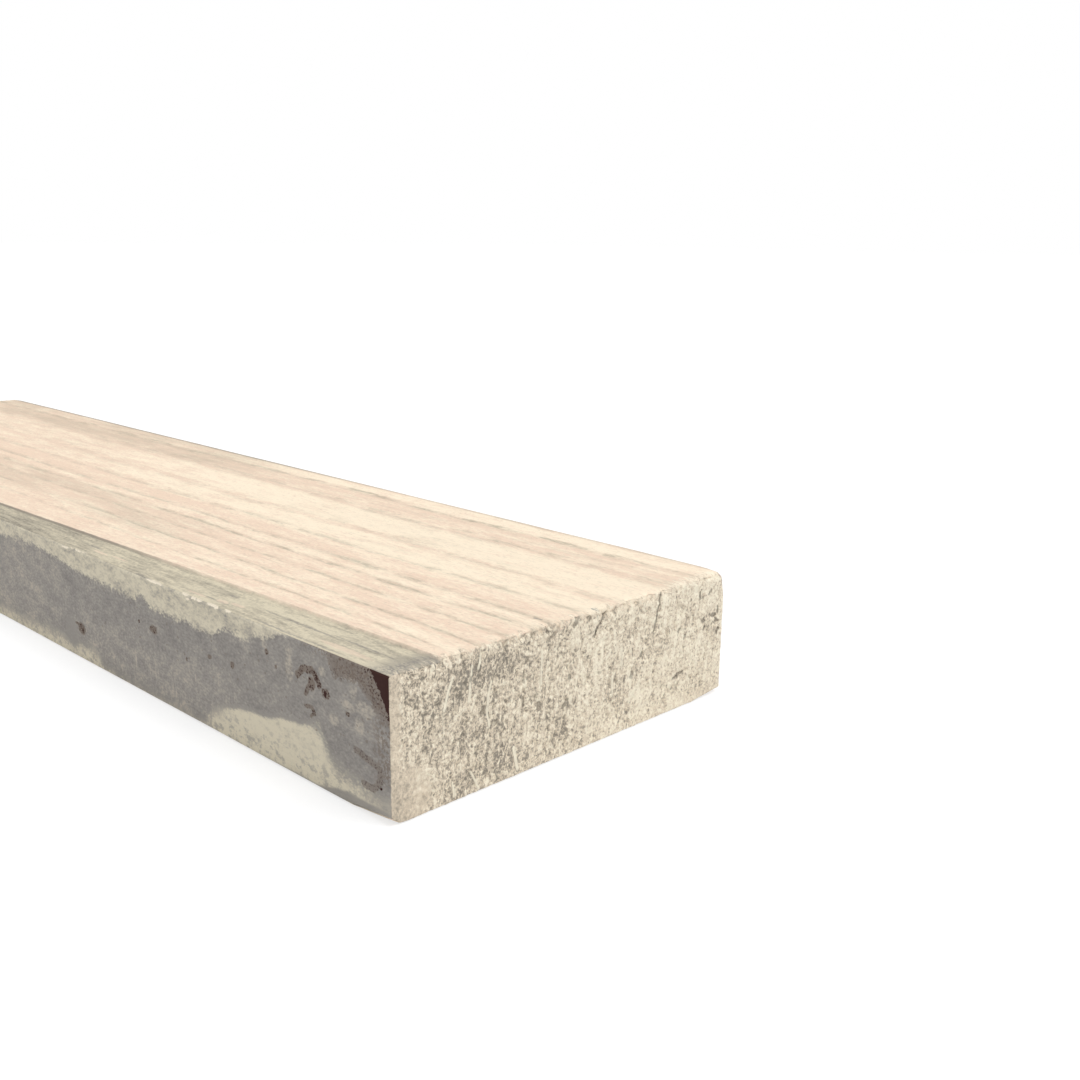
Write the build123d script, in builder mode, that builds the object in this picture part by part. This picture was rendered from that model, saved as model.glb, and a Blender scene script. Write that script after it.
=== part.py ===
from build123d import *
from math import sqrt
import os

os.makedirs("parts", exist_ok=True)

# A short length of rough-sawn, weathered softwood plank, lying on its wide face.
# X runs along the grain, Y across the width and Z through the thickness. The origin is under
# the middle of the plank, on the surface that it lies on. The near end is at +X and the wane
# runs along the upper arris at -Y. All sizes are in millimetres.

# Sawn size of the stock.
length = 600.0
width = 150.0
thickness = 45.0

# Rounding of the four long arrises, each with its corner of the sawn section, across and up.
arris_rounding = [
    ((width / 2, thickness), 1.2),
    ((width / 2, 0.0), 1.5),
    ((-width / 2, 0.0), 1.2),
    ((-width / 2, thickness), 1.0),
]

# Rounding of the arris round each sawn end.
near_end_radius = 0.6
far_end_radius = 0.8

# Wane, where the log's own surface ran close under the upper left arris. Each station holds
# the distance from the near end, the width of the strip, the step down at its inner side and
# the drop at the arris. At the last one the floor lies above the wood, so the strip runs out.
wane_stations = [
    (-1.0, 19.0, 0.9, 0.5),
    (140.0, 14.5, 0.7, 1.1),
    (280.0, 9.5, 0.4, 1.6),
    (540.0, 3.0, -0.4, 0.6),
]

# Worn corners, as bevels that run out along their arrises: three of the near end and the upper
# right one of the far end. Each has the corner of the section, the way into the wood from it, and
# its stations, which hold the distance from the near end, the width of the bevel across the face
# and its height on the side.
worn_corners = [
    ((-width / 2, 0.0), (1, 1), [(-1.0, 3.8, 2.6), (10.0, 2.6, 1.5), (24.0, 0.8, 0.2)]),
    ((width / 2, thickness), (-1, -1), [(-1.0, 4.0, 4.0), (3.0, 2.0, 2.0), (8.0, 0.6, 0.6)]),
    ((width / 2, 0.0), (-1, 1), [(-1.0, 17.0, 1.7), (8.0, 9.0, 1.0), (22.0, 0.8, 0.2)]),
    ((width / 2, thickness), (-1, -1), [(592.0, 0.6, 0.6), (597.0, 2.0, 2.0), (601.0, 4.0, 4.0)]),
]

# Nicks torn out of the near upper arris by the saw, as shallow round scoops: the place across
# the width, the radius of the scoop and how deep it bites into the arris.
arris_nicks = [
    (-63.0, 3.0, 0.7),
    (-52.5, 2.0, 1.1),
    (-41.0, 2.4, 0.9),
    (-29.5, 2.0, 0.8),
    (-19.5, 1.8, 1.0),
    (-13.5, 2.2, 1.6),
    (-1.0, 2.6, 1.5),
    (5.5, 1.8, 1.3),
    (14.5, 2.4, 1.4),
    (24.0, 2.0, 0.7),
    (39.7, 1.8, 1.2),
    (61.0, 2.2, 0.8),
]

# Drying checks that open at the near upper arris and run down the end grain: the mouth and the
# root, each across and up, the width at the mouth and the depth into the end.
end_checks = [
    ((39.9, 45.0), (34.6, 26.0), 1.0, 6.0),
    ((14.8, 45.0), (7.0, 36.0), 1.2, 4.0),
]

near_end = length / 2
left_side = -width / 2
clear = 1.0


def station_plane(distance):
    """The cross-section plane at a distance from the near end, with Y to the right and Z up."""
    return Plane.YZ.offset(near_end - distance)


with BuildPart() as plank:
    # The sawn section, with each arris eased by its own radius.
    with BuildSketch(station_plane(length)):
        with Locations((0, thickness / 2)):
            Rectangle(width, thickness)
        for corner, radius in arris_rounding:
            fillet(vertices().sort_by_distance(corner)[0], radius=radius)
    extrude(amount=length)

    # The arris round each sawn end.
    fillet(faces().sort_by(Axis.X)[-1].edges(), radius=near_end_radius)
    fillet(faces().sort_by(Axis.X)[0].edges(), radius=far_end_radius)

    # The wane, a shallow tapering cut whose inner side is a low step.
    for distance, strip, step, drop in wane_stations:
        fall = (drop - step) / strip
        with BuildSketch(station_plane(distance)):
            with BuildLine():
                Polyline(
                    (left_side - clear, thickness - drop - clear * fall),
                    (left_side + strip, thickness - step),
                    (left_side + strip, thickness + clear),
                    (left_side - clear, thickness + clear),
                    close=True,
                )
            make_face()
    loft(ruled=True, mode=Mode.SUBTRACT)

    # The worn corners, each a bevel that narrows away from the end.
    for corner, inward, stations in worn_corners:
        outside = (corner[0] - inward[0] * clear, corner[1] - inward[1] * clear)
        for distance, across, up in stations:
            with BuildSketch(station_plane(distance)):
                with BuildLine():
                    Polyline(
                        (outside[0], corner[1] + inward[1] * up * (across + clear) / across),
                        outside,
                        (corner[0] + inward[0] * across * (up + clear) / up, outside[1]),
                        close=True,
                    )
                make_face()
        loft(ruled=True, mode=Mode.SUBTRACT)

    # The torn nicks, with each scoop's centre outside the arris, on the diagonal.
    for across, radius, bite in arris_nicks:
        away = (radius - bite) / sqrt(2)
        with Locations((near_end + away, across, thickness + away)):
            Sphere(radius, mode=Mode.SUBTRACT)

    # The drying checks, as narrow wedges that close towards the root.
    for mouth, root, gap, depth in end_checks:
        with BuildSketch(station_plane(-clear)):
            with BuildLine():
                Polyline(
                    (mouth[0] - gap / 2, mouth[1] + clear),
                    (mouth[0] + gap / 2, mouth[1] + clear),
                    root,
                    close=True,
                )
            make_face()
        extrude(amount=-(clear + depth), mode=Mode.SUBTRACT)

plank.part.label = "plank"
export_step(plank.part, "parts/plank.step")
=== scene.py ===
from math import hypot, radians, sqrt

import bmesh
import bpy
from bpy.props import FloatProperty, FloatVectorProperty, IntProperty, PointerProperty
from bpy.types import Operator, Panel, PropertyGroup
from mathutils import Matrix, Vector, noise


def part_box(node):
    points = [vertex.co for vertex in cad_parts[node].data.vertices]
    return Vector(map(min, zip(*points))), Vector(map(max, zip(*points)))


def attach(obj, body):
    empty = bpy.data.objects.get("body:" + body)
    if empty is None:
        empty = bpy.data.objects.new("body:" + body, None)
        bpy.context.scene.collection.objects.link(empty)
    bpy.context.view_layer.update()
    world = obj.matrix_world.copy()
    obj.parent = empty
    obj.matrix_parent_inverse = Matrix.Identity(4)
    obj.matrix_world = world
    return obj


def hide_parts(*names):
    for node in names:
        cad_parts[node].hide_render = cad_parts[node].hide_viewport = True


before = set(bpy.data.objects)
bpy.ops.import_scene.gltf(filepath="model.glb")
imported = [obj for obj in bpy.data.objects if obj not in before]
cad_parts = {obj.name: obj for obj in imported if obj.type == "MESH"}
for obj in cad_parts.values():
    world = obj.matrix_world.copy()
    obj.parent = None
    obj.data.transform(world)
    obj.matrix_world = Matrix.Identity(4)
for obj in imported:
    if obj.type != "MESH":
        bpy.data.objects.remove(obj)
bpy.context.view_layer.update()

bl_info = {
    "name": "Weathered plank",
    "version": (1, 0, 0),
    "blender": (4, 5, 0),
    "location": "View3D > Sidebar > Plank",
    "description": "A short length of rough-sawn, weathered softwood plank",
    "category": "Object",
}

# The plank lies along X with its torn end at +X, its stained side at -Y and its top at +Z.
# Lengths are in millimetres until a mesh or a camera is placed.
MM = 0.001
LOW, HIGH = ([edge / MM for edge in corner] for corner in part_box("plank"))
FAR_END, STAINED_SIDE = LOW[:2]
NEAR_END, CLEAN_SIDE, TOP = HIGH

# The heart of the log, from which the growth rings run, across and up.
PITH_ACROSS = 31.5
PITH_UP = -15.0

# The mesh keeps the crease of the wane on one row of its grid: the distance of that row from the stained
# side, and the place across past which no row is moved.
GRID_STRIP = 13.0
STILL_ACROSS = -30.0

# How far below the top the wane's drop is felt, how far up the worn corners are, and how far from the
# torn end its marks are kept in the mesh.
SUNK_REACH = 14.0
WORN_REACH = 10.0
MARK_REACH = 3.0

# How far down the torn end and how far back along the top the torn arris is broken.
BREAK_DOWN = 3.0
BREAK_BACK = 2.4

# Reach of the knocked corners along and down, and across.
KNOCK_REACH = 9.0
KNOCK_ACROSS = 32.0

# The floor's paint, how brightly it glows and how much of what is seen is that glow, and the way to
# the lamp.
WHITE = (1.0, 1.0, 1.0, 1.0)
FLOOR_PAINT = (0.92, 0.92, 0.92, 1.0)
FLOOR_GLOW = 1.14
FLOOR_GLOW_SHARE = 0.6
LAMP_TOWARDS = (0.42, 0.1, 0.88)

# Dark lines that the rings leave on the top: the place across and how strong each is.
TOP_LINES = (
    (18, 0.4), (9.5, 0.15), (1.2, 0.65), (-12, 0.85), (-19.8, 1), (-30, 0.75), (-41, 0.85),
    (-50.8, 0.7), (-66, 0.45), (-75, 0.4),
)

# Cream bands of the top, as parts of its width from the stained side and how cream each place is.
CREAM_BANDS = (
    (0, 0.25), (0.14, 0.2), (0.2, 0.45), (0.26, 0.15), (0.37, 0.35), (0.4, 0.55), (0.44, 0.15), (0.5, 0.35),
    (0.53, 0.9), (0.59, 0.9), (0.62, 0.35), (0.66, 1), (0.75, 1), (0.8, 0.25), (0.9, 0.15), (0.93, 0.8),
    (0.97, 0.7), (1, 0.1),
)

# Inner rings, which only the lower face and the ends cut, by radius, and how strong they are.
INNER_RINGS = ((54.5, 0.6), (48, 0.7), (41, 0.6), (35, 0.7), (28.5, 0.6), (22.5, 0.6))

# Wane strip along the upper arris of the stained side, as the plank is sawn: the distance from
# the torn end, the width of the strip, the step at its inner side and the drop at the arris.
WANE = (
    (0, 19, 0.9, 0.5),
    (140, 14.5, 0.7, 1.1),
    (280, 9.5, 0.4, 1.6),
    (540, 3, -0.4, 0.6),
)

# Nicks in the torn arris: the place across, the radius of the scoop and its bite.
NICKS = (
    (-63, 3, 0.7), (-52.5, 2, 1.1), (-41, 2.4, 0.9), (-29.5, 2, 0.8), (-19.5, 1.8, 1),
    (-13.5, 2.2, 1.6), (-1, 2.6, 1.5), (5.5, 1.8, 1.3), (14.5, 2.4, 1.4), (24, 2, 0.7),
    (39.7, 1.8, 1.2), (61, 2.2, 0.8),
)

# Worn lower corners of the torn end: the side, how far each runs along and across, and its height.
WORN = ((STAINED_SIDE, 24, 3.5, 2.4), (CLEAN_SIDE, 22, 16, 1.6))

# Upper edge of the grey stain on the side, as places along the plank and heights.
STAIN_EDGE = (
    (-300, 30), (-120, 33), (40, 37), (75, 38.5), (98, 37), (115, 35), (150, 34.5), (157, 34.5),
    (161, 36.5), (168, 34), (184, 33.5), (195, 34), (206, 33.4), (213, 36.6), (219, 37.6), (225, 37.6),
    (233, 39.4), (243, 41.4), (250, 44.5), (256, 48), (300, 60),
)

# Upper edge of the pale wood along the foot of the stained side.
FOOT_EDGE = (
    (-300, 3), (60, 4), (90, 5), (104, 4), (112, 5), (121, 5.5), (127, 3), (132, 0.6), (199, 0),
    (204, 4), (210, 8), (214, 10), (222, 12.3), (228, 13.4), (238, 14.4), (248, 16.8), (256, 17.6),
    (264, 18.8), (267, 17.5), (270, 13), (273.5, 9), (278, 7.6), (286, 6.8), (294, 6.2), (300, 5.6),
)

# Lower edge of the brown fringe and of the black corner at the torn end of the stained side.
FRINGE_EDGE = (
    (240, 50), (266, 50), (270.5, 45.5), (272.6, 39.8), (275.5, 37.4), (280, 38.4),
    (285, 38.5), (288.5, 37), (291, 35), (293.5, 32.6), (296.7, 31.6), (300, 30),
)
BLACK_EDGE = ((285, 48), (290.5, 44.8), (293, 42.2), (295, 39.7), (297, 36.5), (298.2, 34.2), (300, 31.5))

# Lines are given as their points, a half-width and a strength, and spots as their middle and their
# half-widths. These are the brown marks on the stained side, along and up.
BROWN_LINES = (
    (256.2, 33.2, 259.5, 36, 263.6, 36.7, 266.2, 34.6, 267.2, 33, 0.9, 1),
    (262, 31.4, 260.2, 28.6, 0.6, 0.9), (259.8, 24.5, 263.2, 24.8, 264.5, 23.4, 262.6, 22, 0.4, 0.9),
    (284, 18.4, 290.4, 17, 294.8, 15.6, 295.2, 12.4, 291.6, 8.8, 287.4, 9.2, 0.9, 0.6),
)
BROWN_SPOTS = (
    (263.4, 32.4, 2, 2.3), (270.3, 31.2, 2.3, 1.7), (280.6, 28.2, 1.1, 0.9), (112.9, 12.7, 3.2, 2.5),
    (110.2, 14, 2.6, 0.7), (169.6, 26.1, 2.8, 1.6), (206.2, 25.8, 1.4, 0.8),
    (219.9, 26.5, 1.3, 1.2), (191.1, 21, 0.7, 0.7), (240.3, 36.2, 1.2, 0.9), (159.3, 26.6, 0.8, 0.6),
    (245, 32.8, 0.7, 0.7),
)
BLACK_SPOTS = (
    (264.2, 36.1, 1.4, 0.6), (266, 34.6, 0.8, 1.3), (266.9, 33.2, 0.6, 0.8), (258.2, 34.9, 1, 0.6),
    (270, 30.9, 0.7, 1.3), (112.3, 13.9, 1.1, 0.7), (113.9, 12.1, 0.9, 0.9), (295.2, 10.3, 0.7, 0.7),
    (262.6, 33.6, 0.7, 0.5),
)

# Pale thin places in the stain.
THIN_SPOTS = (
    (252.2, 34, 2.2, 4.2), (268.8, 37.4, 1.8, 1.8), (283.4, 36.4, 1.8, 3.6), (281.2, 30.4, 3.4, 1.6),
    (288.6, 31.4, 4.6, 2.6), (286, 26, 2.4, 2.8), (252.2, 39.4, 1.8, 2), (239.2, 38.4, 1.6, 1.6),
    (274, 24.4, 2.6, 2),
)

# Chips and scratches, mostly along the upper arris of the stained side, that bare pale wood.
CHIPS = (
    (104, 43, 3, 0.4), (114, 43.7, 8, 0.35), (172, 43.6, 6, 0.4), (192.4, 43.9, 2.6, 0.6),
    (194.4, 42.7, 1.3, 0.4), (197.8, 43.5, 1.6, 0.4), (201.6, 43.9, 2.2, 0.6), (208.6, 44, 3, 0.6),
    (212, 43.6, 1.2, 0.4), (218.2, 44.1, 2.3, 0.5),
)

# A damp halo round a brown mark of the stained side, and a pit and a dark dash of the top.
HALO = ((104, 9.5, 6, 6),)
PIT = ((298.2, 8.6, 1.6, 1.1),)
DASH = ((291.6, -11.8, 294.2, -11.4, 0.3, 0.7),)

# Dark and pale streaks of the wane strip, along and across.
STRIP_DARK = (
    (114, -68.3, 7, 0.5), (163, -74.7, 7.5, 1.1), (206.5, -64.9, 2.8, 0.7), (206, -71.2, 8, 0.5),
    (245, -65.8, 20, 0.6), (276, -64.8, 16, 0.5), (255, -73.2, 24, 0.6),
)
STRIP_PALE = (
    (124, -70.4, 6, 0.7), (137, -69.4, 6, 0.6), (195, -71.9, 6, 0.7), (209, -70.5, 3.4, 1.3),
    (216, -69.2, 4, 1), (274, -70, 13, 1.4),
)

# Cracks and pits of the torn end, across and up.
TORN_CRACKS = (
    (-14.1, 45.8, -14.5, 43.2, 0.5, 1), (-9, 42.9, -12.5, 41, -14.4, 40, 0.7, 0.7),
    (-13.6, 40, -12.9, 36.6, 1.1, 0.5), (-0.6, 44.8, -2.4, 42, 0.6, 1),
    (4.8, 43.4, 4.6, 42.4, 0.6, 0.9), (14.9, 44.8, 11.9, 42.4, 9, 39.5, 7.3, 36.3, 0.35, 0.9),
    (7, 38.5, 3.5, 37.9, 0.3, 0.6), (39.8, 44.4, 38.4, 38.1, 36.4, 31, 0.3, 1),
    (36.4, 31, 33.5, 23, 0.3, 0.5), (-22.7, 45.9, -23.8, 43.8, 0.4, 0.8),
    (-34.9, 45.4, -31.8, 45.2, 0.3, 0.6), (-35.1, 44.9, -34.8, 43.1, 0.3, 0.6),
    (-19.5, 44.2, -20.3, 42.9, 0.4, 0.7), (-24.3, 32.9, -24.1, 29.1, 0.3, 0.7),
    (-24.5, 24.6, -24.4, 21.8, 0.35, 0.9), (-17.8, 20.8, -17.9, 19.4, 1, 0.8),
    (-5.2, 18.6, -7, 16.8, 0.7, 0.9), (-1.6, 17.5, -2.4, 16.6, 0.5, 0.7),
    (-18.6, 24, -19.5, 22.5, 0.9, 0.6), (-4.1, 26.4, -4.2, 25.4, 0.7, 0.8),
    (9, 24, 10.2, 23.6, 0.6, 0.6), (30.5, 25.4, 29.9, 24.5, 0.6, 0.9),
    (25.8, 19.6, 25.2, 18.4, 0.8, 0.8), (17, 19.2, 18.2, 18.6, 0.9, 0.6),
    (47.6, 12, 49.2, 12.3, 53, 13.2, 0.4, 1), (48.8, 9.5, 49, 6.6, 0.3, 0.6),
    (61.5, 39.8, 61.3, 37.6, 0.4, 1), (67.7, 39.9, 66.3, 38.3, 0.45, 0.7),
    (71.6, 32.8, 72, 30.6, 0.5, 0.9), (49.5, 28.6, 50.9, 29, 0.6, 0.8),
    (53.6, 26.3, 52.9, 25.2, 0.5, 0.8), (68.6, 30.2, 70.2, 30, 0.9, 0.9),
    (71, 28, 71.8, 27.5, 0.7, 0.9), (71.2, 23.2, 72.6, 24.2, 0.8, 1),
    (64.6, 26.8, 63.7, 26.1, 0.6, 0.8), (27.2, 43.2, 27.9, 43, 0.5, 0.8),
    (32.2, 42.6, 31.6, 41.8, 0.5, 0.6), (-40.6, 26, -41.2, 24, 0.8, 0.8),
    (-35.5, 21, -36.2, 19.6, 0.9, 0.6), (-22.6, 36.8, -22.9, 36, 0.8, 0.7),
    (-45.6, 36.6, -45.8, 35.6, 0.5, 0.7), (-46.4, 6.8, -47.6, 6, 1, 0.5),
)

# Raised pale ridges of fibre on the torn end.
TORN_RIDGES = (
    (-52.6, 38.4, -54.4, 34.5, -55.9, 29.4, 0.3, 0.9), (-56.2, 29, -56.4, 20, 0.25, 0.5),
    (-41.5, 44.2, -42.7, 38.4, 0.3, 0.9), (-45.3, 40, -46, 34, -46.6, 29.1, 0.25, 0.7),
    (-37.8, 33.4, -39.1, 29, -39.3, 24, -38.4, 19.2, 0.3, 0.7), (-28.7, 9.9, -27, 2.3, 0.4, 0.9),
    (-16.9, 37.8, -17.1, 26.9, 0.3, 0.7), (-52.9, 6.3, -52.4, 1.8, 0.3, 0.7),
    (-45.8, 7.4, -42.7, 1, 0.3, 0.6), (-52.2, 25.5, -48, 27.7, 0.3, 0.5),
    (29, 15.8, 24.3, 9.9, 0.9, 0.5), (15.7, 21.2, 15.8, 14.4, 0.2, 0.7), (20, 30.1, 20.3, 23, 0.2, 0.7),
    (47, 28.6, 47.7, 16.8, 0.2, 0.4),
)

# Zones of the torn end: across, up, half-width, half-height and how much paler than the rest. The two
# darker zones on the line from about (34, 25) to (17, 9) are painted shade, a soft band running from the
# lower end of the long check.
END_ZONES = (
    (-41, 37.5, 17, 6, -0.16), (-50, 33, 3, 6, -0.1), (-36, 20, 6, 5, -0.06),
    (-31, 7, 12, 5.5, -0.12), (-50, 5, 7, 5, -0.12), (-64, 11, 6, 5.5, 0.12),
    (-61, 38.5, 5, 4.5, 0.1), (29.5, 22, 5, 5, -0.14), (20, 14.5, 5, 6, -0.12),
    (27, 12, 4.5, 3, 0.14), (68, 28, 6, 7, -0.14), (58.5, 40, 3, 4.5, 0.12),
    (42, 41, 2.6, 4, 0.12), (9, 31, 5, 7, 0.1), (62, 5, 13, 4.5, -0.06),
)

# The smooth lower left corner of the torn end, across and up.
SMOOTH_CORNER = ((-69, 7, 9, 11),)

# Lower edge of the pale lip of the top that hangs over the torn end, across and up.
LIP_EDGE = (
    (-75, 47), (-56, 46), (-53, 44.2), (-48, 45), (-42, 45.2), (-36, 46), (-30, 44.8), (-24, 46),
    (-21, 44.6), (-17, 44.2), (-14, 46), (-11.5, 43.8), (-8, 43.2), (-3, 44), (-0.6, 45.6), (2, 43.6),
    (5, 44.2), (9, 43.4), (13, 44), (15, 45.8), (18, 43.8), (24, 43.2), (30, 43.4), (36, 43.6), (39.8, 45),
    (42, 43.8), (46, 45), (56, 45.4), (75, 46),
)


def tone(red, green, blue):
    """A colour as it looks, from 0 to 255, turned into the linear values that a shader takes."""
    parts = [part / 255 for part in (red, green, blue)]
    return tuple(part / 12.92 if part <= 0.04045 else ((part + 0.055) / 1.055) ** 2.4 for part in parts)


def colour_prop(name, description, *default):
    """A colour that a user can change."""
    return FloatVectorProperty(
        name=name, description=description, default=tone(*default), subtype="COLOR", size=3, min=0, max=1
    )


def reach_prop(name, description, default):
    """A small length."""
    return FloatProperty(name=name, description=description + ", in millimetres", min=0, default=default)


class PlankShape(PropertyGroup):
    """Sizes of the plank's surface."""

    cells_along: IntProperty(name="Cells along", description="Faces along the grain", default=60)
    cells_across: IntProperty(name="Cells across", description="Faces across the width", default=282)
    cells_through: IntProperty(name="Cells through", description="Faces through the thickness", default=96)
    end_cell: reach_prop("End cell", "Length of the first face beside each end", 0.8)
    upper_radius: reach_prop("Upper radius", "Rounding of both upper arrises", 1.2)
    lower_radius: reach_prop("Lower radius", "Rounding of both lower arrises", 1.2)
    end_radius: reach_prop("End radius", "Rounding of the arris round each end", 0.6)
    corner_radius: reach_prop("Corner radius", "Rounding of the knocked upper right corners", 3.6)
    grain_depth: reach_prop("Grain depth", "Relief of the long faces", 0.22)
    torn_depth: reach_prop("Torn depth", "Relief of the torn end", 0.8)
    sawn_depth: reach_prop("Sawn depth", "Relief of the far end", 0.35)


class PlankColours(PropertyGroup):
    """Colours of the wood and of what has weathered it."""

    cream: colour_prop("Cream", "Palest bands of the top", 254, 238, 214)
    blush: colour_prop("Blush", "Pinkish wood of the top", 240, 216, 194)
    line: colour_prop("Line", "Dark line of a growth ring", 158, 151, 132)
    moss: colour_prop("Moss", "Green-grey weathering of the wane", 218, 208, 184)
    # Dark moss is real dirt in the wane and also the painted shade along the wane's crease and the top's
    # clean and far arrises.
    dark_moss_and_shade: colour_prop("Dark moss", "Dirt in the wane and its crease", 140, 134, 123)
    # Pale end is the fibre tips' own colour and partly painted highlight on the tips and raised ridges of
    # the torn end.
    end_pale_and_highlight: colour_prop("Pale end", "Tips of the torn fibres", 255, 246, 224)
    end_mid: colour_prop("Mid end", "Body of the end grain", 228, 213, 191)
    # Dark end is partly painted shade in the hollows between the torn fibres.
    end_dark_and_shade: colour_prop("Dark end", "Hollows between the torn fibres", 150, 143, 131)
    side_wood: colour_prop("Side wood", "Bare weathered wood of the stained side", 225, 216, 194)
    side_dirt: colour_prop("Side dirt", "Dirty patches of the bare side", 202, 194, 176)
    stain: colour_prop("Stain", "Grey water stain of the side", 162, 157, 151)
    stain_pale: colour_prop("Pale stain", "Thin places in the stain", 200, 190, 175)
    stain_dark: colour_prop("Dark stain", "Thick places in the stain", 138, 134, 130)
    chip: colour_prop("Chip", "Fresh wood bared by the chips", 255, 243, 222)
    rust: colour_prop("Rust brown", "Brown marks on the side", 130, 118, 108)
    tar: colour_prop("Tar", "Near-black mark at the corner", 62, 38, 34)
    # Crack is painted shade inside the cracks of the torn end.
    crack: colour_prop("Crack", "Depth of a crack in the torn end", 104, 98, 90)


class PlankStage(PropertyGroup):
    """Camera, light and floor."""

    camera_place: FloatVectorProperty(
        name="Camera place", description="Where the camera stands, in metres", subtype="TRANSLATION",
        unit="LENGTH", default=(0.5424, -0.2641, 0.1598),
    )
    camera_aim: FloatVectorProperty(
        name="Camera aim", description="The point at the middle of the picture, in metres",
        subtype="TRANSLATION", unit="LENGTH", default=(0.1615, 0.1221, 0.0225),
    )
    camera_roll: FloatProperty(
        name="Camera roll", description="Turn of the camera about its own axis", subtype="ANGLE",
        default=radians(0.65),
    )
    lens: FloatProperty(
        name="Lens", description="Focal length in millimetres on a 36 mm frame", default=40.43
    )
    sky: FloatProperty(name="Sky", description="Strength of the even light from all round", default=0.57)
    lamp: FloatProperty(name="Lamp", description="Strength of the soft lamp overhead", default=1.75)
    lamp_softness: FloatProperty(
        name="Lamp softness", description="Width of the lamp", subtype="ANGLE", default=radians(30)
    )
    floor_half: FloatProperty(
        name="Floor half-width", description="Half the floor's side", unit="LENGTH", default=12.0
    )


def between(value, low, high):
    """Where a value stands from low to high, held between 0 and 1."""
    return min(1, max(0, (value - low) / (high - low)))


def eased(value, low, high):
    """As between, with soft ends."""
    part = between(value, low, high)
    return part * part * (3 - 2 * part)


def wane_at(along):
    """Width, step and drop of the wane at a place along the plank."""
    distance = NEAR_END - along
    for near, far in zip(WANE, WANE[1:]):
        if distance <= far[0]:
            part = between(distance, near[0], far[0])
            return [a + (b - a) * part for a, b in zip(near[1:], far[1:])]
    return [WANE[-1][1], -1, -1]


def graded(part, cells, first, span):
    """A place along a span whose cells are fine at both ends. The part runs from 0 to 1."""
    side = abs(2 * part - 1)
    inner = 1 - side
    share = first * cells / span
    reach = share * inner + (1 - share) * inner ** 2.1
    place = 0.5 * (1 - reach)
    return span * (place if part < 0.5 else -place)


def rounded(point, shape):
    """A point of the sharp block, moved onto its eased arrises."""
    x, y, z = point
    radius = shape.lower_radius if z < TOP / 2 else shape.upper_radius
    knocked = between(abs(x), NEAR_END - KNOCK_REACH, NEAR_END) * between(z, TOP - KNOCK_REACH, TOP)
    knocked *= eased(y, CLEAN_SIDE - KNOCK_ACROSS, CLEAN_SIDE)
    radius += (shape.corner_radius - radius) * knocked
    reach = Vector((shape.end_radius + (shape.corner_radius - shape.end_radius) * knocked, radius, radius))
    inner = Vector((
        min(max(x, FAR_END + reach.x), NEAR_END - reach.x),
        min(max(y, STAINED_SIDE + reach.y), CLEAN_SIDE - reach.y),
        min(max(z, reach.z), TOP - reach.z),
    ))
    away = Vector([gap / size for gap, size in zip(Vector(point) - inner, reach)]).normalized()
    return inner + away * reach


def grain_relief(point):
    """Depth of the long faces' relief from 0 to 1: ridges along the grain on a slow swell."""
    x, y, z = point
    ridge = noise.noise((x / 38, y / 1.7, z / 1.7 + 40))
    fine = noise.noise((x / 16, y / 0.9 + 9, z / 0.9))
    swell = noise.noise((x / 70, y / 16, z / 16 + 7))
    return between(0.45 + 0.35 * ridge + 0.2 * fine + 0.3 * swell, 0, 1)


def torn_relief(point):
    """Depth of the torn end's relief, mostly 0 to 1: curling tufts between pits, on leaning streaks."""
    y, z = point[1:]
    lean = y - 0.12 * z
    curl = noise.noise((y / 3.5, z / 3.5, 77)) * 1.5
    tufts = noise.noise(((lean + curl) / 1.8, (z + curl) / 2.8, 3.1)) * 0.9
    small = noise.noise((y / 1.1, z / 1.2, 17)) * 0.5
    streak = noise.noise((lean / 2.6, z / 24, 31)) * 0.5
    swell = noise.noise((y / 16, z / 12, 47)) * 0.5
    calm = 0.4 + 0.6 * eased(noise.noise((y / 24, z / 16, 57)) - 0.008 * (y - 20) + 0.02 * z, -0.4, 0.5)
    margin = min(z, CLEAN_SIDE - abs(y), 6) / 6
    return 0.35 + (calm * (tufts + small) + streak + swell) * (0.35 + 0.65 * margin)


def raggedness(across):
    """How far the torn arris is broken at a place across the plank, in millimetres."""
    teeth = max(0, noise.noise((across / 1.5, 0.5, 8)) - 0.05) * 4.2
    bites = max(0, noise.noise((across / 4.6, 0.5, 28))) * 3
    return (teeth + bites) * (0.45 + 0.75 * between(60 - abs(across + 8), 0, 40))


def sawn_relief(point):
    """Depth of the far end's relief from 0 to 1: fine pores and the marks of the saw."""
    y, z = point[1:]
    pores = noise.noise((y / 1.6, z / 1.6, 61))
    kerf = noise.noise((y / 2.2, z / 60, 71))
    return between(0.4 + 0.35 * pores + 0.35 * kerf, 0, 1)


def scooped(point):
    """A point near the torn arris, pushed out of the nicks."""
    for across, radius, bite in NICKS:
        away = (radius - bite) / sqrt(2)
        centre = Vector((NEAR_END + away, across, TOP + away))
        gap = point - centre
        if gap.length < radius:
            point = centre + gap.normalized() * radius
    return point


def line_runs(table):
    """The straight runs of a table of lines, each with its ends, half-width and strength."""
    runs = []
    for *places, half, strength in table:
        points = [Vector(point) for point in zip(places[::2], places[1::2])]
        runs += [(start, stop, half, strength) for start, stop in zip(points, points[1:])]
    return runs


def line_share(across, up, runs, soft):
    """How far a place lies on one of some runs, from 0 to the strength of the run."""
    place = Vector((across, up))
    share = 0
    for start, stop, half, strength in runs:
        reach = half + soft
        if not min(start.x, stop.x) - reach < across < max(start.x, stop.x) + reach:
            continue
        run = stop - start
        gap = place - start
        away = (gap - run * between(gap.dot(run), 0, run.length_squared)).length
        share = max(share, strength * (1 - eased(away, half * 0.5, reach)))
    return share


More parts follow.
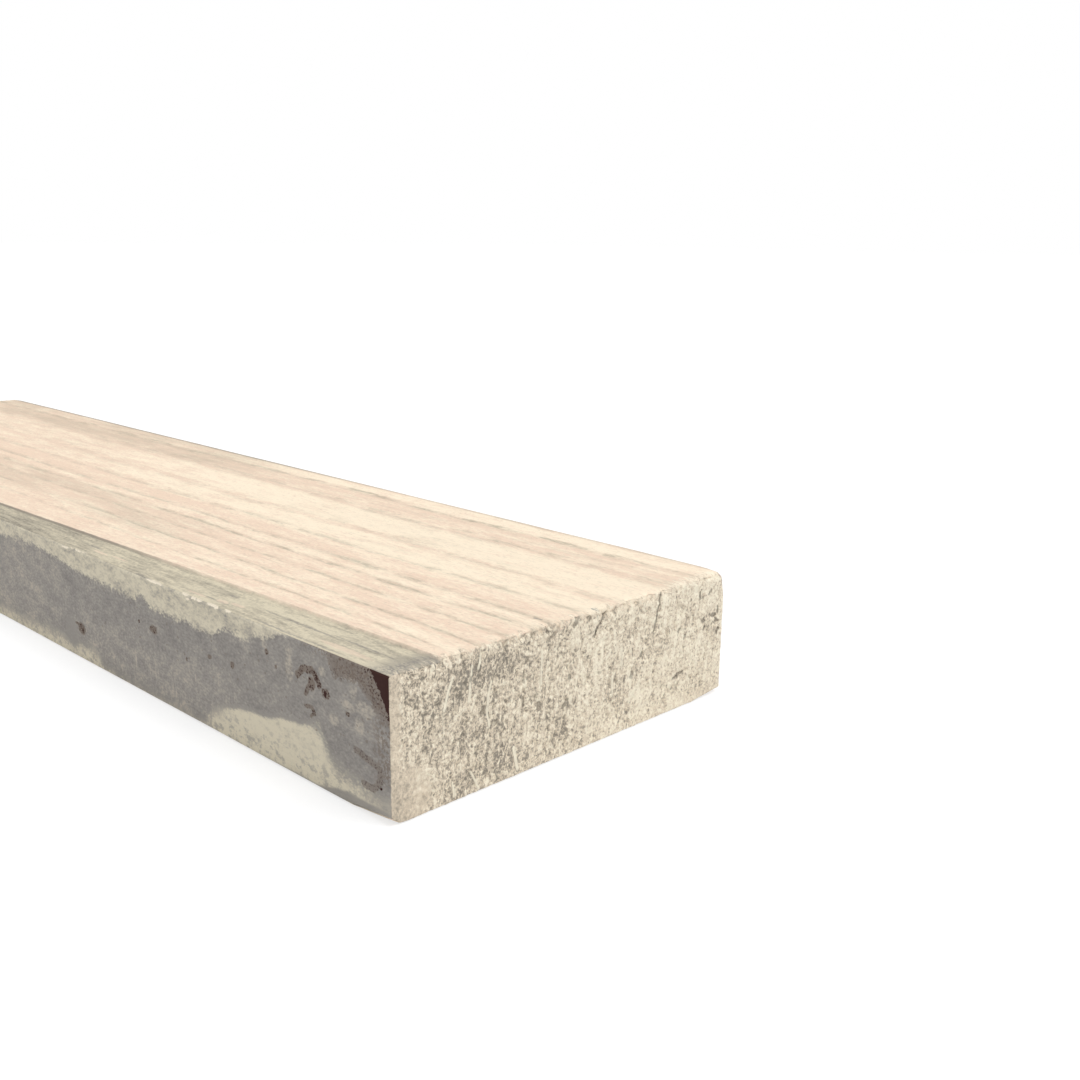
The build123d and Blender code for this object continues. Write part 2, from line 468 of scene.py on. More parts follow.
def zone_level(across, up):
    """How much paler a place of the torn end is than the rest, by the zones that it lies in."""
    level = 0
    for middle, height, half_across, half_up, paler in END_ZONES:
        away = hypot((across - middle) / half_across, (up - height) / half_up)
        level += paler * (1 - eased(away, 0.3, 1.15))
    return level


CRACK_RUNS = line_runs(TORN_CRACKS)
RIDGE_RUNS = line_runs(TORN_RIDGES)


def plank_point(unit, shape):
    """The place of a vertex of the gridded cube on the finished plank, and what it is part of."""
    u, v, w = (part + 0.5 for part in unit)
    x = graded(1 - u, shape.cells_along, shape.end_cell, HIGH[0] - LOW[0])
    y = LOW[1] + v * (HIGH[1] - LOW[1])
    z = LOW[2] + w * (HIGH[2] - LOW[2])
    at_far, at_left, at_low = (part < 1e-5 for part in (u, v, w))
    at_near, at_right, at_top = (part > 1 - 1e-5 for part in (u, v, w))

    strip, step, drop = wane_at(x)
    crease = STAINED_SIDE + strip
    home = STAINED_SIDE + GRID_STRIP
    if y < home:
        y = STAINED_SIDE + (y - STAINED_SIDE) * strip / GRID_STRIP
    elif y < STILL_ACROSS:
        y = STILL_ACROSS - (STILL_ACROSS - y) * (STILL_ACROSS - crease) / (STILL_ACROSS - home)

    place = rounded((x, y, z), shape)
    sunk = 0
    if y <= crease + 0.01:
        sunk = max(0, step + (drop - step) * between(crease - y, 0, strip))
    place.z -= sunk * between(place.z, TOP - SUNK_REACH, TOP)

    for side, along, across, up in WORN:
        share = between(x, NEAR_END - along, NEAR_END)
        width = across * share + 0.01
        lift = up * share * between(width - abs(y - side), 0, width)
        place.z += lift * between(WORN_REACH - place.z, 0, WORN_REACH)

    marks = (0, 0, 0)
    if x > NEAR_END - MARK_REACH:
        marks = (line_share(y, z, CRACK_RUNS, 0.5), line_share(y, z, RIDGE_RUNS, 0.5), zone_level(y, z))
    long_depth = grain_relief((x, y, z))
    if at_near:
        depth = torn_relief((x, y, z))
        stroke = 0.45 * marks[0] - 0.4 * marks[1]
        broken = raggedness(y) * between(z, TOP - BREAK_DOWN, TOP)
        place.x -= max(0, shape.torn_depth * (depth - 0.15) + stroke) + 0.9 * broken
        depth = between(depth, 0, 1)
    elif at_far:
        depth = sawn_relief((x, y, z))
        place.x += shape.sawn_depth * depth
    else:
        depth = long_depth
    place.z += shape.grain_depth * long_depth * (at_low - at_top)
    place.y += shape.grain_depth * long_depth * (at_left - at_right)
    if at_top:
        place.z -= raggedness(y) * between(x, NEAR_END - BREAK_BACK, NEAR_END)
    place = scooped(place)
    return place, (float(at_near or at_far), float(at_left or at_right), depth), marks


def gridded_block(mesh, cells):
    """A closed cube of side 1, cut into cells along each axis."""
    bmesh.ops.create_cube(mesh, size=1)
    for axis, count in enumerate(cells):
        runs = [edge for edge in mesh.edges if abs((edge.verts[0].co - edge.verts[1].co)[axis]) > 0.5]
        bmesh.ops.subdivide_edges(mesh, edges=runs, cuts=count - 1, use_grid_fill=False)


def maths_step(operation, turned=False):
    """A method that adds a Math node to a wire and what is joined to it."""
    def step(*values):
        return values[0].board.maths(operation, *(reversed(values) if turned else values))
    return step


class Wire:
    """An output of a node. Python's operators on it add the Math nodes of the expression."""

    def __init__(self, board, socket):
        self.board = board
        self.socket = socket

    __add__ = __radd__ = maths_step("ADD")
    __sub__ = maths_step("SUBTRACT")
    __rsub__ = maths_step("SUBTRACT", True)
    __mul__ = __rmul__ = maths_step("MULTIPLY")
    __truediv__ = maths_step("DIVIDE")
    __pow__ = maths_step("POWER")
    __abs__ = maths_step("ABSOLUTE")


class Board:
    """The node tree of a material or of the world."""

    def __init__(self, owner):
        owner.use_nodes = True
        self.owner = owner
        self.tree = owner.node_tree
        self.tree.nodes.clear()

    def node(self, kind, settings=None, sockets=None, output=0):
        """Adds a node, sets it up, fills its sockets and returns one of its outputs."""
        made = self.tree.nodes.new("ShaderNode" + kind)
        for name, value in (settings or {}).items():
            if name == "points":
                self.set_points(made.mapping, value)
            else:
                setattr(made, name, value)
        for name, value in (sockets or {}).items():
            if isinstance(value, Wire):
                self.tree.links.new(value.socket, made.inputs[name])
            else:
                made.inputs[name].default_value = value
        return Wire(self, made.outputs[output]) if made.outputs else None

    @staticmethod
    def set_points(mapping, points):
        """Gives a float curve its points."""
        curve = mapping.curves[0]
        while len(curve.points) < len(points):
            curve.points.new(1, 1)
        for point, (place, value) in zip(curve.points, points):
            point.location = (place, value)
            point.handle_type = "AUTO_CLAMPED"
        mapping.update()

    def maths(self, operation, *values):
        """A Math node."""
        return self.node("Math", {"operation": operation}, dict(enumerate(values)))

    def lower(self, a, b):
        """The lower of two values."""
        return self.maths("MINIMUM", a, b)

    def higher(self, a, b):
        """The higher of two values."""
        return self.maths("MAXIMUM", a, b)

    def rise(self, value, low, high, start=0, stop=1):
        """Start below low, stop above high and a soft rise or fall between them."""
        settings = {"interpolation_type": "SMOOTHSTEP"}
        return self.node("MapRange", settings, {0: value, 1: low, 2: high, 3: start, 4: stop})

    def pulse(self, value, middle, half, soft):
        """1 within a half-width of the middle, with soft flanks."""
        return 1 - self.rise(abs(value - middle), half, half + soft)

    def mix(self, share, under, over):
        """One colour laid over another by a share."""
        settings = {"data_type": "RGBA", "blend_type": "MIX", "clamp_factor": True}
        under = under if isinstance(under, Wire) else (*under, 1)
        over = over if isinstance(over, Wire) else (*over, 1)
        return self.node("Mix", settings, {0: share, 6: under, 7: over}, output=2)

    def parts(self, vector):
        """The three parts of a vector."""
        split = self.node("SeparateXYZ", None, {0: vector})
        return [Wire(self, output) for output in split.socket.node.outputs]

    def carried(self, name):
        """The three parts of a vector that the mesh carries."""
        return self.parts(self.node("Attribute", {"attribute_name": name}, output=1))

    def layered(self, colour, *layers):
        """A colour with others laid over it in turn, each given after its share."""
        for share, over in layers:
            colour = self.mix(share, colour, over)
        return colour

    def stretched(self, vector, lengths, offset=0):
        """A place measured in its own length along each axis."""
        shift = (offset, offset * 0.7, offset * 1.3)
        scale = tuple(1 / length for length in lengths)
        return self.node("Mapping", None, {"Vector": vector, "Location": shift, "Scale": scale})

    def grain(self, vector, lengths, offset, detail=2, roughness=0.5, curl=0):
        """Soft noise from 0 to 1 whose lumps have the lengths given, with a pattern for each offset."""
        sockets = {
            "Vector": self.stretched(vector, lengths, offset),
            "Scale": 1,
            "Detail": detail,
            "Roughness": roughness,
            "Distortion": curl,
        }
        return self.node("TexNoise", None, sockets)

    def spread(self, value, gain):
        """Noise about a half, spread out from its middle."""
        return (value - 0.5) * gain

    def square_on(self, across, up):
        """A place seen square on to a face, from the two lengths that run across it."""
        return self.node("CombineXYZ", None, {0: across, 1: up})

    def spots(self, flat, table):
        """1 inside any of a table's oval spots of a face and 0 outside them."""
        nearest = 9
        for across, up, half_across, half_up in table:
            rate = (1 / half_across, 1 / half_up, 0)
            shift = (-across / half_across, -up / half_up, 0)
            sockets = {0: flat, 1: rate, 2: shift}
            away = self.node("VectorMath", {"operation": "MULTIPLY_ADD"}, sockets)
            away = self.node("VectorMath", {"operation": "LENGTH"}, {0: away}, output=1)
            nearest = self.lower(nearest, away)
        return 1 - self.rise(nearest, 0.7, 1.15)

    def stroke(self, flat, start, stop, half, strength, soft):
        """A straight soft-edged stroke between two points of a face."""
        run = (stop[0] - start[0], stop[1] - start[1], 0)
        span = run[0] ** 2 + run[1] ** 2
        rate = (run[0] / span, run[1] / span, 0)
        gap = self.node("VectorMath", {"operation": "SUBTRACT"}, {0: flat, 1: (*start, 0)})
        part = self.node("VectorMath", {"operation": "DOT_PRODUCT"}, {0: gap, 1: rate}, output=1)
        part = self.node("Clamp", None, {0: part})
        foot = self.node("VectorMath", {"operation": "SCALE"}, {0: run, "Scale": part})
        away = self.node("VectorMath", {"operation": "DISTANCE"}, {0: gap, 1: foot}, output=1)
        return self.rise(away, half, half + soft, strength, 0)

    def strokes(self, flat, table, soft):
        """The strongest of the strokes of a table at each point, from 0 to 1."""
        share = 0
        for start, stop, half, strength in line_runs(table):
            share = self.higher(share, self.stroke(flat, start, stop, half, strength, soft))
        return share

    def ramped(self, level, low, middle, high):
        """Three colours along a level from 0 to 1."""
        colour = self.mix(level * 2, low, middle)
        return self.mix(level * 2 - 1, colour, high)

    def along(self, value, low, high, points):
        """A height that follows given points from low to high, all in millimetres."""
        top = 60
        part = (value - low) / (high - low)
        marks = [((place - low) / (high - low), height / top) for place, height in points]
        return self.node("FloatCurve", {"points": marks}, {0: 1, 1: part}) * top


class WoodBoard(Board):
    """The weathered wood, painted on the place of each point in millimetres."""

    def __init__(self, name, colours):
        super().__init__(bpy.data.materials.new(name))
        self.colours = colours
        place = self.node("TexCoord", output=3)
        self.place = self.stretched(place, (MM, MM, MM))
        self.x, self.y, self.z = self.parts(self.place)
        on_end, on_side, self.hollow_depth_for_shade = self.carried("skin")
        self.end = self.rise(on_end, 0.35, 0.65)
        self.side = self.rise(on_side, 0.35, 0.65)
        self.dust = self.grain(self.place, (1.3, 0.9, 0.8), 5, 2, 0.6)
        self.ripple = self.swing(2, (5, 4, 3.4), 111, 4, 0.62)
        shake = self.swing(1.5, (2.2, 2.2, 2.2), 211, 3, 0.6)
        shiver = self.swing(1.5, (2.2, 2.2, 2.2), 221, 3, 0.6)
        self.on_end = self.square_on(self.y + shake, self.z + shiver)
        self.on_side = self.square_on(self.x + shake, self.z + shiver)
        self.on_top = self.square_on(self.x + shake, self.y + shiver)
        ragged = self.swing(1, (0.8, 0.8, 0.8), 231, 2, 0.6)
        cracks, ridges, self.paler = self.carried("torn")
        self.cracks = self.rise(cracks + ragged * 0.5, 0.34, 0.8)
        self.ridges = self.rise(ridges + ragged * 0.5, 0.26, 0.6)
        self.near = self.rise(self.x, -10, 10)

    def swing(self, gain, lengths, *rest, **named):
        """Noise on the place of each point, about nought and spread out by a gain."""
        return self.spread(self.grain(self.place, lengths, *rest, **named), gain)

    def patches(self, low, high, lengths, *rest, **named):
        """Soft-edged patches, where noise on the place of each point rises from low to high."""
        return self.rise(self.grain(self.place, lengths, *rest, **named), low, high)

    def threads(self, vector, lengths, width, offset, curl):
        """Thin winding lines, where soft noise crosses its middle."""
        middle = abs(self.grain(vector, lengths, offset, 1, 0.5, curl) - 0.5)
        return 1 - self.rise(middle, 0, width)

    def ring_distance(self):
        """Distance of each point from the heart of the log, with the sway of a grown trunk."""
        sway = self.swing(3, (160, 60, 60), 3, 1)
        sway += self.swing(2, (30, 5, 5), 9, 2)
        sway += self.swing(1.6, (11, 6, 6), 13, 2)
        across = self.y - PITH_ACROSS
        up = self.z - PITH_UP
        return (across * across + up * up) ** 0.5 + sway

    def ring_lines(self):
        """Latewood of the growth rings on whatever face cuts them: thin dark cores and wide pale shades."""
        radius = self.ring_distance()
        rings = [(hypot(line - PITH_ACROSS, TOP - PITH_UP), strength) for line, strength in TOP_LINES]
        cores = shades = 0
        for ring, strength in rings + list(INNER_RINGS):
            core = self.rise(radius, ring - 1.1, ring - 0.1)
            core *= 1 - self.rise(radius, ring + 0.1, ring + 0.8)
            shade = self.rise(radius, ring - 2.6, ring) * (1 - self.rise(radius, ring, ring + 1.4))
            cores = self.higher(cores, core * strength)
            shades = self.higher(shades, shade * strength)
        return cores, shades

    def top_colour(self, cores, shades):
        """The pale top, with cream and pinkish bands and broken ring lines."""
        c = self.colours
        x, y = self.x, self.y
        drift = self.swing(7, (90, 20, 20), 21, 2)
        across = (y + drift - STAINED_SIDE) / (CLEAN_SIDE - STAINED_SIDE)
        cream = self.node("FloatCurve", {"points": CREAM_BANDS}, {0: 1, 1: across})
        mottle = self.swing(2.8, (22, 4.5, 4.5), 31, 4, 0.64)
        forward = self.rise(x, -20, 200) * 0.2 - 0.08
        cream = cream * (0.5 + self.rise(x, -90, 60) * 0.5) + mottle + forward
        flecks = self.swing(1.8, (2.4, 1.1, 1.1), 35, 2, 0.6)
        grey_far = self.rise(y + drift, 40, 50) * (1 - self.rise(x, -20, 70))
        grey_mid = self.pulse(y, -33, 10, 6) * self.pulse(x, 15, 80, 50) * 0.7
        cloud = self.patches(0.3, 0.7, (50, 9, 9), 41, 4, 0.6)
        near = self.rise(x, 20, 150)
        dashes = self.patches(0.54, 0.72, (7, 1.1, 1.1), 51, 3, 0.6)
        right = 1 + self.rise(y, 38, 50) * 0.8
        gaps = self.patches(0.4, 0.6, (15, 5, 5), 61, 3, 0.65)
        broken = self.patches(0.36, 0.62, (3, 0.8, 0.8), 71, 2, 0.6)
        # Painted shade: a dark line along the clean side's upper arris, fainter near the torn end, and
        # round the far end's upper arris.
        edge = self.rise(y + self.ripple * 0.4, 71.6, 73.6) * (1 - near * 0.6)
        rim = 1 - self.rise(x + self.ripple, FAR_END + 1, FAR_END + 3.5)
        return self.layered(
            self.mix(cream + flecks, c.blush, c.cream),
            (self.higher(grey_far, grey_mid) * (0.08 + cloud * 0.26), c.line),
            (dashes * (0.1 + near * 0.08), c.line),
            (shades * right * (0.08 + gaps * 0.18), c.line),
            (cores * right * gaps * (0.15 + broken * 0.6) * (0.3 + near * 0.4), c.line),
            (self.rise(self.dust, 0.52, 0.74) * 0.2, c.line),
            # Painted shade of the clean and far arrises.
            (self.higher(edge, rim) * 0.7, c.dark_moss_and_shade),
            (self.higher(self.spots(self.on_top, PIT), self.strokes(self.on_top, DASH, 0.4)), c.stain_dark),
        )

    def wane_share(self):
        """1 on the wane strip and 0 past its crease, and how far the crease is to the right."""
        width = self.along(NEAR_END - self.x, 0, 600, [(mark[0], mark[1]) for mark in WANE])
        crease = width + STAINED_SIDE
        past = self.y - crease
        return 1 - self.rise(past + self.ripple * 0.8, -0.7, 0.7), past

    def wane_colour(self, cores):
        """The green-grey strip, darker in its streaks and beside the torn end."""
        c = self.colours
        x, y = self.x, self.y
        level = 0.52 + self.swing(1.8, (13, 1.7, 1.7), 81, 4, 0.68)
        level += self.swing(1.3, (34, 14, 14), 85, 2)
        level += self.spread(self.dust, 1.1) + self.rise(x, 60, 250) * 0.19
        level += (1 - self.rise(y, -74.6, -72.6)) * self.rise(x, 90, 200) * 0.3
        broken = self.patches(0.3, 0.6, (4, 1.5, 1.5), 89, 2, 0.6)
        smudge = self.rise(x + self.ripple * 4, 286, 296)
        return self.layered(
            self.mix(1 - level, c.moss, c.dark_moss_and_shade),
            (cores * 0.25, c.dark_moss_and_shade),
            (self.spots(self.on_top, STRIP_DARK) * (0.1 + broken * 0.5), c.stain_dark),
            (self.spots(self.on_top, STRIP_PALE) * 0.45, c.blush),
            (smudge * (0.35 + self.rise(self.dust, 0.4, 0.6) * 0.5), c.stain_dark),
        )

    def stained_colour(self):
        """The stained side: grey stain with a ragged edge, pale patches, brown marks and black corner."""
        c = self.colours
        x, z = self.x, self.z
        blotch = 0.72 + self.swing(2.8, (6, 4, 3), 101, 4, 0.7)
        blotch += self.swing(1.2, (22, 9, 9), 103, 2, 0.6)
        wood = self.ramped(blotch + self.spread(self.dust, 1.2), c.stain, c.side_dirt, c.side_wood)
        upper = self.along(x, FAR_END, NEAR_END, STAIN_EDGE)
        lumps = self.swing(5.5, (3.4, 3, 3.2), 115, 4, 0.7)
        rough = lumps + self.ripple * 1.6 + self.spread(self.dust, 4)
        below = 1 - self.rise(z - upper + rough, -1.1, 1.1)
        thin = 0.36 + self.swing(1.1, (8, 6, 5), 121, 3, 0.7)
        worn = self.pulse(x, 165, 45, 25) * (1 - self.rise(z, 14, 28))
        worn = self.higher(1 - self.rise(x, 70, 130), worn)
        scratch = self.patches(0.6, 0.7, (0.8, 4, 13), 125, 2, 0.6)
        scratch *= self.pulse(x, 172, 50, 20) * (1 - self.rise(z, 16, 26))
        thin += self.spread(self.dust, 1.2) + worn * 0.16 + scratch * 0.3
        colour = self.mix(below, wood, self.ramped(thin, c.stain_dark, c.stain, c.stain_pale))
        patchy = self.rise(self.ripple + self.spread(self.dust, 2.2), -0.5, 0.7)
        spots = self.spots(self.on_side, THIN_SPOTS)
        colour = self.mix(spots * (0.1 + patchy * 0.75), colour, c.stain_pale)
        foot = self.along(x, FAR_END, NEAR_END, FOOT_EDGE)
        foot += lumps * (0.1 + 0.35 * (1 - self.pulse(x, 245, 26, 8)))
        soft = 0.9 + self.rise(x, 258, 268) * 3.6 + (1 - self.rise(x, 205, 225)) * 2
        fuzz = self.ripple * 0.8 + self.spread(self.dust, 3) * soft
        pale = 1 - self.rise((z - foot + fuzz) / soft, -0.9, 0.9)
        pale *= 1 - self.rise(x, 284, 298) * 0.5
        freckles = self.patches(0.48, 0.64, (2.8, 2.2, 2), 131, 3, 0.7)
        clean = self.rise(blotch + self.spread(self.dust, 1.4), -0.1, 0.8)
        clean = self.mix(clean, c.side_dirt, c.side_wood)
        clean = self.mix(freckles * (1 - self.rise(z, 4, 15)) * 0.65, clean, c.stain)
        colour = self.mix(pale, colour, clean)
        rim = self.pulse(z - foot, 0.9, 0.3, 0.8) * self.pulse(x, 240, 26, 4)
        low = self.rise(x, 262, 280) * 2.8 + 1
        bottom = (1 - self.rise(z - low + self.ripple * 0.5, -0.6, 0.6)) * self.rise(x, 225, 262)
        colour = self.mix(self.higher(rim * 0.6, bottom * 0.9), colour, c.stain)
        colour = self.mix(self.spots(self.on_side, HALO) * 0.7, colour, c.stain)
        return self.chipped(self.marked(colour))

    def marked(self, colour):
        """The brown marks, the brown fringe of the torn end and its black corner."""
        c = self.colours
        x, z = self.x, self.z
        speckle = self.patches(0.42, 0.56, (0.9, 0.9, 0.8), 141, 1)
        dots = self.patches(0.68, 0.74, (1.7, 1.6, 1.5), 145, 1)
        dots *= self.pulse(z, 26, 7, 4) * self.rise(x, 90, 150)
        colour = self.mix(dots * 0.6, colour, c.rust)
        marks = self.strokes(self.on_side, BROWN_LINES, 0.5)
        marks = self.higher(marks, self.spots(self.on_side, BROWN_SPOTS))
        fringe = z - self.along(x, 240, NEAR_END, FRINGE_EDGE) + self.spread(speckle, 1.6)
        fringe = self.rise(fringe + self.ripple * 0.5, -0.7, 0.8)
        fringe *= self.rise(x + self.spread(speckle, 4), 267, 276)
        sparse = self.rise(x, 250, 268) * self.rise(z, 40.5, 44.5)
        sparse = self.higher(sparse, self.rise(x, 289, 297) * self.pulse(z, 22, 8, 4)) * (1 - speckle)
        share = self.higher(marks * (0.85 + speckle * 0.15), fringe * (1 - speckle * 0.35))
        colour = self.mix(self.higher(share, sparse * 0.8), colour, c.rust)
        flecks = self.patches(0.54, 0.64, (0.8, 0.8, 0.7), 147, 1)
        edge = self.along(x, 285, NEAR_END, BLACK_EDGE)
        beside = self.rise(z - edge, -9, 0) * self.rise(x, 284, 292)
        speck_share = self.higher(fringe * (0.35 + beside * 0.65), marks * 0.8)
        colour = self.mix(flecks * speck_share, colour, c.tar)
        black = self.rise(z - edge + self.ripple * 0.4 + self.spread(speckle, 0.8), -0.3, 0.3)
        black *= self.rise(x, 287, 289)
        black = self.higher(black, self.spots(self.on_side, BLACK_SPOTS) * (0.35 + speckle * 0.65))
        return self.mix(black, colour, c.tar)

    def chipped(self, colour):
        """Pale bare wood where the stained side's upper arris is chipped."""
        bare = self.spots(self.on_side, CHIPS)
        reach = 1 - self.rise(self.y - STAINED_SIDE + self.ripple * 0.8, 0.4, 1.2)
        return self.mix(bare * reach * 0.9, colour, self.colours.chip)

    def plain_colour(self, cores, shades):
        """The clean side and the lower face, sawn and weathered evenly."""
        c = self.colours
        cloud = self.swing(2.2, (60, 16, 12), 151, 4, 0.6) + 0.34
        streak = self.swing(2.4, (30, 2.2, 2.2), 155, 4, 0.66)
        kerf = self.patches(0.5, 0.7, (1.6, 60, 60), 159, 2)
        return self.layered(
            self.ramped(cloud + streak, c.moss, c.blush, c.cream),
            (shades * 0.2, c.line),
            (cores * self.rise(streak, -0.7, 0.3) * 0.5, c.line),
            (kerf * self.rise(streak, -0.3, 0.6) * 0.09, c.dark_moss_and_shade),
            (self.rise(self.dust, 0.5, 0.8) * 0.2, c.line),
        )

    def end_colour(self, cores):
        """Both ends: furry end grain, pale at the tips of the fibres and dark between them, partly painted
        highlight on the tips and painted shade in the hollows.
        """
        c = self.colours
        y, z = self.y, self.z
        lean = (radians(7), 0, 0)
        shear = self.node("Mapping", None, {"Vector": self.place, "Rotation": lean})
        fur = self.grain(shear, (3, 1.5, 1.8), 161, 4, 0.76, curl=1)
        streaks = self.grain(shear, (20, 1.6, 13), 165, 2, 0.6, curl=0.4)
        cloud = self.grain(self.place, (60, 16, 12), 169, 3, 0.6)
        hairs = self.threads(shear, (3, 1.5, 4), 0.05, 173, 0.9) * self.rise(fur, 0.36, 0.6)
        long_hairs = self.threads(shear, (3, 2.2, 12), 0.022, 177, 0.5) * self.rise(streaks, 0.4, 0.6)
        hairs = self.higher(hairs, long_hairs)
        calm = self.higher(self.spots(self.on_end, SMOOTH_CORNER), 1 - self.rise(y, -73, -70))
        calm = self.higher(calm, self.rise(y, 30, 50) * (1 - self.rise(z, 2, 7)) * 0.7)
        busy = 1 - calm * 0.65 * self.near
        level = self.spread(fur, 2.5) + self.spread(streaks, 1) + self.spread(self.dust, 1.8)
        # Painted shade: darker where the torn relief is deep.
        level = (level + hairs * 0.5 - self.rise(self.hollow_depth_for_shade, 0.5, 1.1) * 0.3) * busy
        level += 0.4 + self.rise(y, -60, 50) * 0.26 + self.spread(cloud, 0.7)
        # Zones of the torn end, two of them painted shade.
        level += self.paler * self.near * 2
        return self.layered(
            self.ramped(level, c.end_dark_and_shade, c.end_mid, c.end_pale_and_highlight),
            (cores * 0.12, c.end_dark_and_shade),
            # Partly painted highlight on the raised ridges of fibre.
            (self.ridges * self.near * 0.9, c.end_pale_and_highlight),
            # Painted shade inside the cracks.
            (self.cracks * self.near * 0.55, c.crack),
        )

    def height(self):
        """Fine relief in millimetres: fur on the ends and grain on the long faces."""
        fur = self.grain(self.place, (2, 0.9, 1.2), 181, 4, 0.75, curl=0.8) * 0.6
        fur += (self.ridges * 0.3 - self.cracks * 0.5) * self.near
        strands = self.grain(self.place, (16, 0.8, 0.8), 185, 4, 0.66) * 0.3
        pores = self.grain(self.place, (2, 1.2, 1), 189, 4, 0.66) * 0.22
        return fur * self.end + (strands + pores) * (1 - self.end) * (1 - self.side * 0.45)

    def finish(self):
        """Joins the faces' colours and wires the shader."""
        x, y, z = self.x, self.y, self.z
        cores, shades = self.ring_lines()
        top = self.top_colour(cores, shades)
        strip, past = self.wane_share()
        top = self.mix(strip, top, self.chipped(self.wane_colour(cores)))
        # Painted shade: a dark line for the shadow of the step along the wane's crease, faint near the torn
        # end.
        crease = self.pulse(past + self.ripple * 0.3, 0.1, 0.2, 0.6)
        crease *= 0.1 + 0.7 * (1 - self.rise(x, 100, 190))
        top = self.mix(crease, top, self.colours.dark_moss_and_shade)
        plain = self.plain_colour(cores, shades)
        above = self.rise(z, 12, 20)
        flat = self.mix(above, plain, top)
        sides = self.mix(self.rise(y, -10, 10), self.stained_colour(), plain)
        colour = self.mix(self.side, flat, sides)
        edge = self.along(y, STAINED_SIDE, CLEAN_SIDE, LIP_EDGE)
        shred = self.swing(8, (2, 1, 1.6), 235, 2, 0.6)
        lip = self.rise(z - edge + shred + self.ripple * 0.3, -1.6, 0.6) * self.near
        tooth = self.swing(16, (6, 1.2, 1.2), 75, 2, 0.6)
        # Painted shade: near the clean side the end's colour reaches a few millimetres further back onto
        # the top, the shade of the rounded corner.
        corner = self.rise(y, 40, 54) * 4.5 - self.rise(y, 20, 32) * 1.5 - 1.4
        frayed_and_corner_shade = self.rise(x + tooth + self.ripple * 0.8 + corner, 295, 299) * 0.75
        torn = self.higher(self.end * (1 - lip), frayed_and_corner_shade * (1 - self.side) * above)
        colour = self.mix(torn, colour, self.end_colour(cores))
        bump = self.node("Bump", None, {"Strength": 1, "Distance": MM, "Height": self.height()})
        shader = self.node("BsdfPrincipled", None, {
            "Base Color": colour,
            "Roughness": 0.92,
            "Specular IOR Level": 0.2,
            "Normal": bump,
        })
        self.node("OutputMaterial", None, {"Surface": shader})
        return self.owner


def added(context, name, data):
    """A new object in the scene."""
    made = bpy.data.objects.new(name, data)
    context.scene.collection.objects.link(made)
    return made


class PLANK_OT_plank(Operator):
    """Makes the plank with its torn end, wane and weathered skin"""

    bl_idname = "plank.plank"
    bl_label = "Plank"

    def execute(self, context):
        shape = context.scene.plank_shape
        block = bmesh.new()
        gridded_block(block, (shape.cells_along, shape.cells_across, shape.cells_through))
        skin = []
        torn = []
        for vert in block.verts:
            place, kind, marks = plank_point(vert.co, shape)
            vert.co = place * MM
            skin.extend(kind)
            torn.extend(marks)
        bmesh.ops.recalc_face_normals(block, faces=block.faces)
        mesh = bpy.data.meshes.new("weathered_plank")
        block.to_mesh(mesh)
        block.free()
        for name, values in (("skin", skin), ("torn", torn)):
            mesh.attributes.new(name, "FLOAT_VECTOR", "POINT").data.foreach_set("vector", values)
        mesh.shade_smooth()
        plank = added(context, "weathered_plank", mesh)
        mesh.materials.append(WoodBoard("weathered_wood", context.scene.plank_colours).finish())
        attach(plank, "root")
        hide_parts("plank")
        return {"FINISHED"}


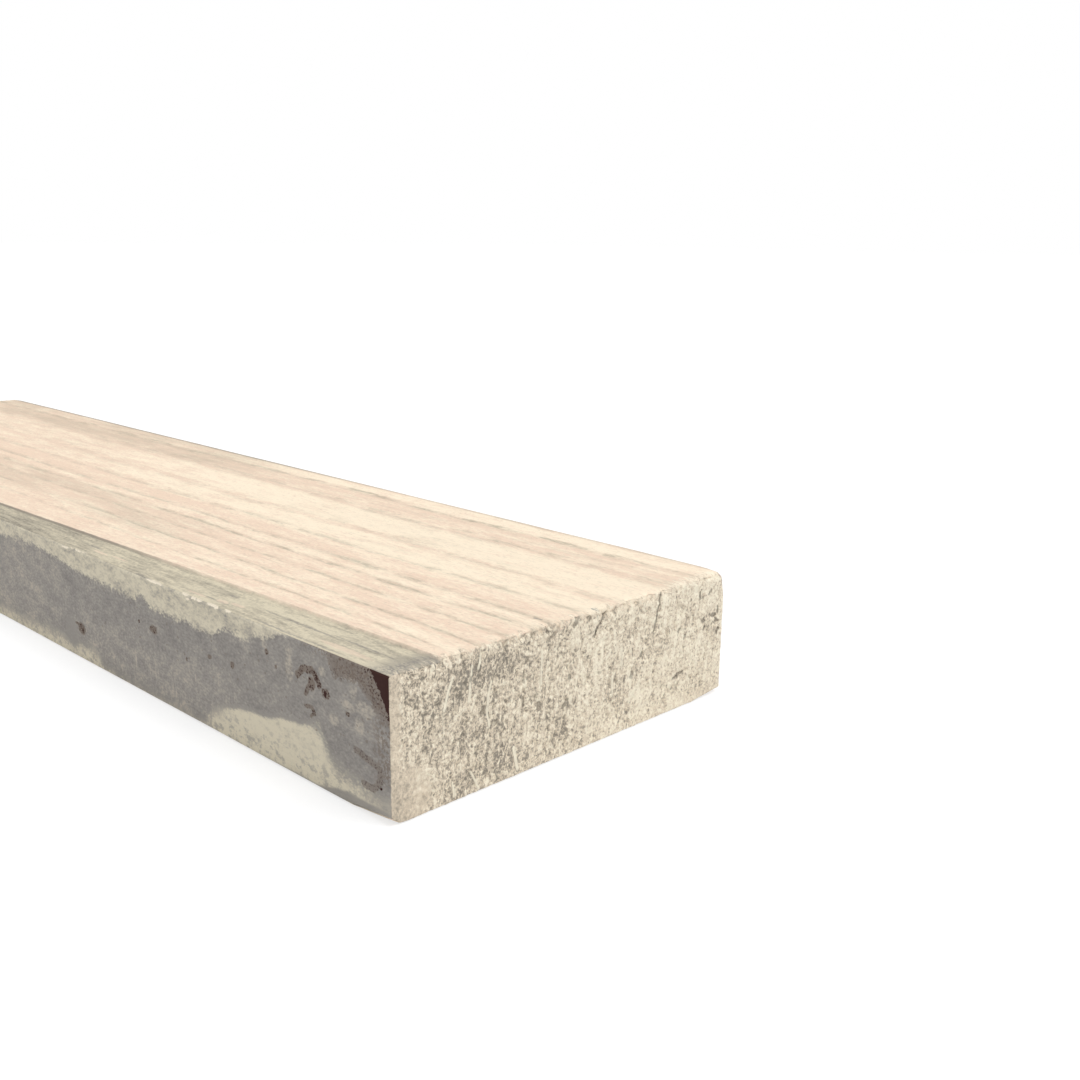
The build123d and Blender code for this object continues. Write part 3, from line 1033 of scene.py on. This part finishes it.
class PLANK_OT_stage(Operator):
    """Sets up the white floor, the soft light and the camera"""

    bl_idname = "plank.stage"
    bl_label = "Stage"

    def execute(self, context):
        for make in (self.make_floor, self.make_light, self.make_camera):
            make(context, context.scene.plank_stage)
        context.scene.view_settings.view_transform = "Standard"
        return {"FINISHED"}

    def make_floor(self, context, stage):
        """A wide white floor that keeps the plank's shadow."""
        sheet = bmesh.new()
        bmesh.ops.create_grid(sheet, x_segments=1, y_segments=1, size=stage.floor_half)
        mesh = bpy.data.meshes.new("floor")
        sheet.to_mesh(mesh)
        sheet.free()
        floor = added(context, "floor", mesh)
        board = Board(bpy.data.materials.new("white_floor"))
        paint = board.node("BsdfDiffuse", None, {"Color": FLOOR_PAINT})
        glow = board.node("Emission", None, {"Color": WHITE, "Strength": FLOOR_GLOW})
        seen = board.node("LightPath", output=0)
        surface = board.node("MixShader", None, {0: seen * FLOOR_GLOW_SHARE, 1: paint, 2: glow})
        board.node("OutputMaterial", None, {"Surface": surface})
        mesh.materials.append(board.owner)

    def make_light(self, context, stage):
        """An even sky and a soft lamp from above, on the clean side."""
        board = Board(bpy.data.worlds.new("studio"))
        context.scene.world = board.owner
        seen = 0.0
        for ray in ("Is Camera Ray", "Is Glossy Ray", "Is Transmission Ray"):
            seen = board.higher(seen, board.node("LightPath", output=ray))
        strength = seen + (1 - seen) * stage.sky
        sky = board.node("Background", None, {"Color": WHITE, "Strength": strength})
        board.node("OutputWorld", None, {"Surface": sky})
        lamp = bpy.data.lights.new("soft_lamp", "SUN")
        lamp.energy = stage.lamp
        lamp.angle = stage.lamp_softness
        holder = added(context, "soft_lamp", lamp)
        holder.rotation_euler = Vector(LAMP_TOWARDS).to_track_quat("Z", "Y").to_euler()

    def make_camera(self, context, stage):
        """The camera at the photograph's place."""
        lens = bpy.data.cameras.new("camera")
        lens.sensor_width = 36.0
        lens.lens = stage.lens
        lens.clip_start = 0.01
        camera = added(context, "camera", lens)
        place = Vector(stage.camera_place)
        look = (Vector(stage.camera_aim) - place).to_track_quat("-Z", "Y").to_matrix().to_4x4()
        camera.matrix_world = Matrix.Translation(place) @ look @ Matrix.Rotation(stage.camera_roll, 4, "Z")
        context.scene.camera = camera


class PLANK_PT_panel(Panel):
    """Lists the plank's steps in the sidebar"""

    bl_label = "Weathered plank"
    bl_idname = "PLANK_PT_panel"
    bl_space_type = "VIEW_3D"
    bl_region_type = "UI"
    bl_category = "Plank"

    def draw(self, context):
        column = self.layout.column()
        for step in (PLANK_OT_plank, PLANK_OT_stage):
            column.operator(step.bl_idname)
        for setting in SETTINGS:
            group = getattr(context.scene, setting)
            box = self.layout.box()
            for name in group.bl_rna.properties.keys():
                if name not in ("rna_type", "name"):
                    box.prop(group, name)


SETTINGS = {"plank_shape": PlankShape, "plank_colours": PlankColours, "plank_stage": PlankStage}
CLASSES = (*SETTINGS.values(), PLANK_OT_plank, PLANK_OT_stage, PLANK_PT_panel)


def register():
    """Adds the plank's classes and settings."""
    for entry in CLASSES:
        bpy.utils.register_class(entry)
    for name, group in SETTINGS.items():
        setattr(bpy.types.Scene, name, PointerProperty(type=group))


def unregister():
    """Takes them away again."""
    for name in SETTINGS:
        delattr(bpy.types.Scene, name)
    for entry in reversed(CLASSES):
        bpy.utils.unregister_class(entry)


def main():
    """Makes the plank and its stage."""
    register()
    bpy.ops.plank.plank()
    bpy.ops.plank.stage()


if __name__ == "__main__":
    main()
